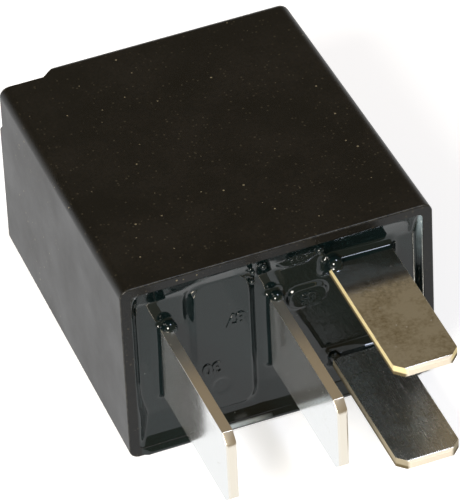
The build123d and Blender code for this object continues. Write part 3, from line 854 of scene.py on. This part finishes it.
class RELAY_OT_resin(bpy.types.Operator):
    """Pours the sealing resin, with its banks, creep and beads at the blades"""

    bl_idname = "relay.resin"
    bl_label = "Sealing resin"

    def execute(self, context):
        settings = context.scene.relay_resin
        piece = resin_face(settings)
        raise_face(settings, context.scene.relay_marks, piece)
        make_active(piece)
        switch_to("EDIT")
        bpy.ops.mesh.select_mode(type="EDGE")
        bpy.ops.mesh.select_all(action="DESELECT")
        bpy.ops.mesh.select_non_manifold()
        bpy.ops.mesh.extrude_region_move()
        bpy.ops.transform.resize(value=(1, 0, 1), center_override=(0, resin_high.y, 0))
        bpy.ops.mesh.edge_face_add()
        bpy.ops.mesh.select_all(action="SELECT")
        bpy.ops.mesh.normals_make_consistent(inside=False)
        switch_to("OBJECT")
        cutters = [
            block(Vector((low.x, -FAR, low.z)), Vector((high.x, FAR, high.z)))
            for low, high in blade_sections().values()
        ]
        wall_low = Vector((cover_low.x, rim_y, cover_low.z))
        wall_high = Vector((cover_high.x, cover_high.y, resin_low.z))
        cutters.append(block(wall_low, wall_high))
        for cutter in cutters:
            cut = {"operation": "DIFFERENCE", "object": cutter, "solver": "MANIFOLD"}
            apply_modifier(piece, "BOOLEAN", **cut)
            remove(cutter)
        smooth(piece, degrees=62)
        beads = add_beads()
        make_active(beads)
        bpy.ops.object.shade_smooth()
        finish = sealing_epoxy(settings)
        for part in (piece, beads):
            give_material(part, finish)
            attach(part, "root")
        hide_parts("resin_seal")
        return {"FINISHED"}


class RELAY_OT_cover(bpy.types.Operator):
    """Finishes the moulded cover"""

    bl_idname = "relay.cover"
    bl_label = "Cover"

    def execute(self, context):
        dress("cover", cover_nylon(context.scene.relay_cover))
        return {"FINISHED"}


class RELAY_OT_base(bpy.types.Operator):
    """Finishes the base plate and raises the plain terminal numbers on its pads"""

    bl_idname = "relay.base"
    bl_label = "Base plate"

    def execute(self, context):
        settings = context.scene.relay_marks
        resin = context.scene.relay_resin
        finish = sealing_epoxy(resin)
        dress("base", finish)
        pad, upper, lower = pad_outlines()
        # Number, outline that it stands on, place as shares of the outline, height
        numbers = (
            ("87", pad, 0.76, 0.68, settings.large_number),
            ("30", pad, 0.24, 0.335, settings.large_number),
            ("86", upper, 0.5, 0.5, settings.small_number),
            ("85", lower, 0.5, 0.5, settings.small_number),
        )
        pieces = []
        for text, (low, high, _), share_x, share_z, size in numbers:
            deselect()
            x, z = within(low, high, share_x, share_z)
            place = (x, low.y - resin.pad_film, z)
            bpy.ops.object.text_add(location=place, rotation=(math.pi / 2, math.pi, 0))
            letters = {
                "body": text,
                "size": size,
                "align_x": "CENTER",
                "align_y": "CENTER",
                "space_character": 0.95,
                "extrude": settings.relief / 2,
                "bevel_depth": settings.number_edge,
                "bevel_resolution": 2,
                "offset": settings.boldness,
            }
            set_all(bpy.context.object.data, letters)
            bpy.ops.object.convert(target="MESH")
            pieces.append(bpy.context.object)
        marks = join_pieces(pieces, "terminal_numbers")
        give_material(marks, finish)
        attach(marks, "root")
        return {"FINISHED"}


class RELAY_OT_blades(bpy.types.Operator):
    """Rounds the sheared edges of the four blades and finishes them"""

    bl_idname = "relay.blades"
    bl_label = "Blades"

    def execute(self, context):
        settings = context.scene.relay_blades
        sections = blade_sections().items()
        middles = {name: (low.z + high.z) / 2 for name, (low, high) in sections}
        # Axes: across the broad faces and the sides. Specks: share, size and strength
        upright = {
            "axes": ("X", "Z"),
            "side": settings.brass,
            "tarnish": 0.1,
            "specks": (0.12, 0.2, 0.6),
            "roughness": (0.08, 0.16),
            "metallic": 0.88,
            "edge_roughness": 0.35,
            "edge_metallic": 1,
        }
        upper = {
            "axes": ("Z", "X"),
            "side": settings.golden,
            "middle": middles["terminal_86"],
            "tarnish": 0.75,
            "specks": (0.14, 0.24, 0.25),
            "roughness": (0.13, 0.21),
            "metallic": 1,
            "edge_roughness": 0.8,
            "edge_metallic": 0.3,
        }
        # Painted shade: blade 85's sheared sides take the darker tarnish colour instead of brass,
        # where blade 87 shades them
        lower = {
            **upper,
            "side": settings.tarnish,
            "middle": middles["terminal_85"],
            "specks": (0.3, 0.3, 0.2),
            "roughness": (0.19, 0.3),
        }
        upright = tinned_brass(settings, "tinned_brass_upright", upright)
        flat = tinned_brass(settings, "tinned_brass_flat", upper)
        lower = tinned_brass(settings, "tinned_brass_lower_painted_shade", lower)
        finishes = {"terminal_85": lower, "terminal_86": flat}
        for name in upright_blades + flat_blades:
            piece = copy_of(name, flatten=True)
            round_edges(piece, settings.arris, segments=3, degrees=40)
            smooth(piece, degrees=35)
            # The broad faces stay flat to the eye, and only the rounded edges turn the light
            apply_modifier(piece, "WEIGHTED_NORMAL", weight=100, keep_sharp=True)
            give_material(piece, finishes.get(name, upright))
            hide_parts(name)
            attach(piece, "root")
        dress("back_stop", flat)
        return {"FINISHED"}


class RELAY_OT_magnet(bpy.types.Operator):
    """Finishes the yoke, core, armature and their rivets"""

    bl_idname = "relay.magnet"
    bl_label = "Magnet"

    def execute(self, context):
        settings = context.scene.relay_inner
        iron = mottled(settings, "zinc_plated_iron")
        for name in ("yoke", "core", "armature"):
            dress(name, iron)
        steel = mottled(settings, "upset_steel")
        for name in ("yoke_rivets", "armature_rivets"):
            dress(name, steel)
        return {"FINISHED"}


class RELAY_OT_coil(bpy.types.Operator):
    """Finishes the bobbin, the winding and the resistor across it"""

    bl_idname = "relay.coil"
    bl_label = "Coil"

    def execute(self, context):
        settings = context.scene.relay_inner
        dress("bobbin", mottled(settings, "ivory_nylon"))
        dress("coil_winding", wound_copper(settings))
        dress("resistor", mottled(settings, "lacquered_ceramic"))
        dress("resistor_leads", mottled(settings, "tinned_wire"))
        return {"FINISHED"}


class RELAY_OT_contacts(bpy.types.Operator):
    """Finishes the contacts and makes the contact spring, with rounded edges"""

    bl_idname = "relay.contacts"
    bl_label = "Contacts"

    def execute(self, context):
        settings = context.scene.relay_inner
        silver = mottled(settings, "silver_alloy")
        for name in ("moving_contact", "fixed_contact"):
            dress(name, silver)
        spring = copy_of("contact_spring", flatten=False)
        round_edges(spring, settings.spring_arris, segments=2, degrees=50)
        smooth(spring, degrees=30)
        give_material(spring, mottled(settings, "phosphor_bronze"))
        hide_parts("contact_spring")
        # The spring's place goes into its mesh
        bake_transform(spring)
        return {"FINISHED"}


class RELAY_OT_stage(bpy.types.Operator):
    """Sets the pale floor, the soft light and the camera"""

    bl_idname = "relay.stage"
    bl_label = "Stage"

    def execute(self, context):
        settings = context.scene.relay_stage
        context.scene.view_settings.view_transform = "Standard"
        self.add_floor(settings)
        self.set_surround(context.scene, settings)
        self.add_lamps()
        self.add_camera(context.scene, settings)
        return {"FINISHED"}

    def add_floor(self, settings):
        """A matt pale floor and a low board behind it, seen and mirrored as nearly white."""
        deselect()
        below = 0.01 * MM
        bpy.ops.mesh.primitive_plane_add(size=settings.floor_size, location=(0, 0, -below))
        floor = bpy.context.object
        floor.name = "floor"
        apply_place(floor)
        far_side = settings.floor_size * 0.49
        pick(floor, "VERT", lambda corner: corner.co.y > far_side)
        bpy.ops.mesh.select_mode(type="EDGE")
        rise = {"value": (0, 0, settings.board_height)}
        bpy.ops.mesh.extrude_region_move(TRANSFORM_OT_translate=rise)
        switch_to("OBJECT")
        # Matt paper: takes the shadow, and glows for the camera so that it looks nearly white
        m = new_material("matt_paper")
        path = node(m, "LightPath").outputs
        glow_strength = 0.62
        seen = node(m, "Math", (path["Is Camera Ray"], glow_strength), operation="MULTIPLY")
        glow = node(m, "Emission", {"Strength": seen})
        paper = node(m, "BsdfDiffuse", {"Color": rgba(settings.floor)})
        lit = node(m, "AddShader", (glow, paper))
        mirrored = (path["Is Glossy Ray"], path["Is Transmission Ray"])
        mirrored = node(m, "Math", mirrored, operation="MAXIMUM")
        white = node(m, "Emission")
        surface = node(m, "MixShader", (mirrored, lit, white))
        node(m, "OutputMaterial", {"Surface": surface})
        give_material(floor, m)

    def set_surround(self, scene, settings):
        """White behind the floor for the camera, and a dim warm room for everything else."""
        world = bpy.data.worlds.new("surround")
        world.use_nodes = True
        world.node_tree.nodes.clear()
        path = node(world, "LightPath").outputs
        white = (1, 1, 1, 1)
        colour = (path["Is Camera Ray"], rgba(settings.surround), white)
        colour = node(world, "Mix", colour, data_type="RGBA")
        sky = node(world, "Background", {"Color": colour})
        node(world, "OutputWorld", {"Surface": sky})
        scene.world = world

    def add_lamps(self):
        """A broad key lamp beside the camera and a weaker, bluish lamp overhead."""
        # Name, azimuth and elevation in degrees, distance, radius, power and colour
        lamps = (
            ("key_lamp", -44, 36, 500 * MM, 90 * MM, 2.5, "#fff8ee"),
            ("top_lamp", 68, 73, 500 * MM, 60 * MM, 0.75, "#dfe9ff"),
        )
        for name, azimuth, elevation, distance, radius, power, colour in lamps:
            deselect()
            towards = direction(math.radians(azimuth), math.radians(elevation))
            bpy.ops.object.light_add(type="AREA", location=towards * distance)
            lamp = bpy.context.object
            lamp.name = name
            lamp.rotation_euler = towards.to_track_quat("Z", "Y").to_euler()
            lamp.data.shape = "DISK"
            lamp.data.size = radius * 2
            lamp.data.energy = power
            lamp.data.color = linear(colour)

    def add_camera(self, scene, settings):
        """The camera, at the photograph's angle."""
        back = direction(settings.azimuth, settings.elevation)
        level = Vector((math.cos(settings.azimuth), math.sin(settings.azimuth), 0))
        right = Matrix.Rotation(-settings.roll, 3, back) @ level
        turn = Matrix((right, back.cross(right), back)).transposed()
        aim = Vector((-1.26, -0.99, 11.0)) * MM
        deselect()
        place = aim + back * settings.distance
        bpy.ops.object.camera_add(location=place, rotation=turn.to_euler())
        camera = bpy.context.object
        camera.name = "camera"
        camera.data.lens = settings.lens
        camera.data.clip_start = 10 * MM
        scene.camera = camera


def direction(azimuth, elevation):
    """Unit vector towards an azimuth and elevation, azimuth 0 being in front, at -Y."""
    level = math.cos(elevation)
    return Vector((math.sin(azimuth) * level, -math.cos(azimuth) * level, math.sin(elevation)))


class RELAY_PT_sidebar(bpy.types.Panel):
    """Lists the steps that dress the relay"""

    bl_idname = "RELAY_PT_sidebar"
    bl_label = "Relay"
    bl_space_type = "VIEW_3D"
    bl_region_type = "UI"
    bl_category = "Relay"

    def draw(self, context):
        for step in steps:
            self.layout.operator(step.bl_idname)


steps = (
    RELAY_OT_cover,
    RELAY_OT_resin,
    RELAY_OT_base,
    RELAY_OT_blades,
    RELAY_OT_magnet,
    RELAY_OT_coil,
    RELAY_OT_contacts,
    RELAY_OT_stage,
)
settings_groups = {
    "relay_cover": RelayCoverSettings,
    "relay_resin": RelayResinSettings,
    "relay_marks": RelayMarkSettings,
    "relay_blades": RelayBladeSettings,
    "relay_inner": RelayInnerSettings,
    "relay_stage": RelayStageSettings,
}


def register():
    """Registers the settings, the steps and the panel."""
    for group in settings_groups.values():
        bpy.utils.register_class(group)
    for name, group in settings_groups.items():
        setattr(bpy.types.Scene, name, PointerProperty(type=group))
    for step in steps:
        bpy.utils.register_class(step)
    bpy.utils.register_class(RELAY_PT_sidebar)


def unregister():
    """Removes the panel, the steps and the settings."""
    bpy.utils.unregister_class(RELAY_PT_sidebar)
    for step in reversed(steps):
        bpy.utils.unregister_class(step)
    for name, group in settings_groups.items():
        delattr(bpy.types.Scene, name)
        bpy.utils.unregister_class(group)


def main():
    """Dresses the relay step by step."""
    register()
    bpy.ops.relay.cover()
    bpy.ops.relay.resin()
    bpy.ops.relay.base()
    bpy.ops.relay.blades()
    bpy.ops.relay.magnet()
    bpy.ops.relay.coil()
    bpy.ops.relay.contacts()
    bpy.ops.relay.stage()


if __name__ == "__main__":
    main()
